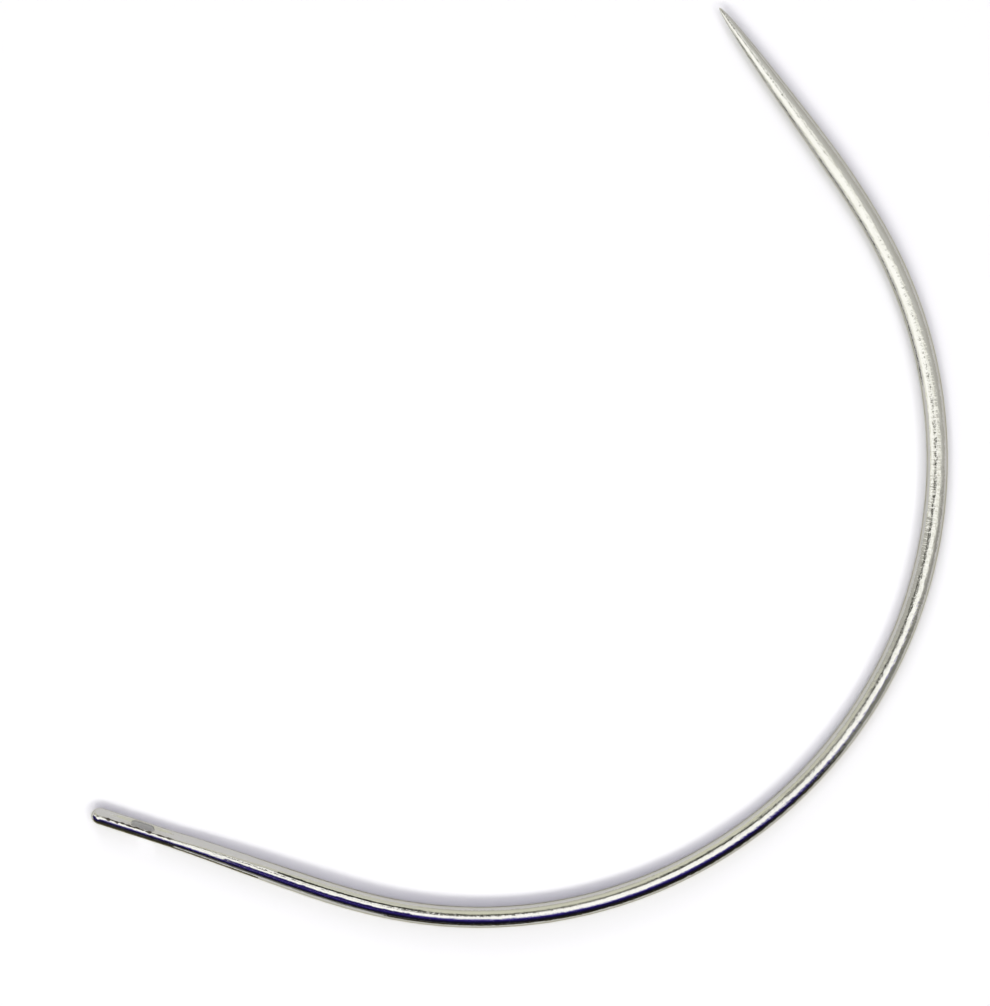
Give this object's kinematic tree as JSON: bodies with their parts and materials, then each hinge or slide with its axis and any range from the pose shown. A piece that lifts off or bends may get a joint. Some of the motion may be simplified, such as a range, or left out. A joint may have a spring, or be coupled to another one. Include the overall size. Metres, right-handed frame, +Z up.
{
  "type": "curved weaving needle",
  "caption": "Curved weaving needle: nickel-plated steel wire bent to a C, ground to a sharp point, with a flattened head around a slot eye and its thread gutters.",
  "frame": {"origin": "middle of the needle's outline, on the flat surface that the needle lies on", "axes": "the bow lies in the XY plane; +X runs from the eye end to the point, the bow bulges towards -Y and opens towards +Y, +Z is up"},
  "size_m": [0.0566, 0.0306, 0.0012],
  "materials": {
    "nickel_plate": "bright nickel plate over fine drawn-wire grain"
  },
  "bodies": {
    "root": {"needle": "nickel_plate"}
  },
  "joints": []
}
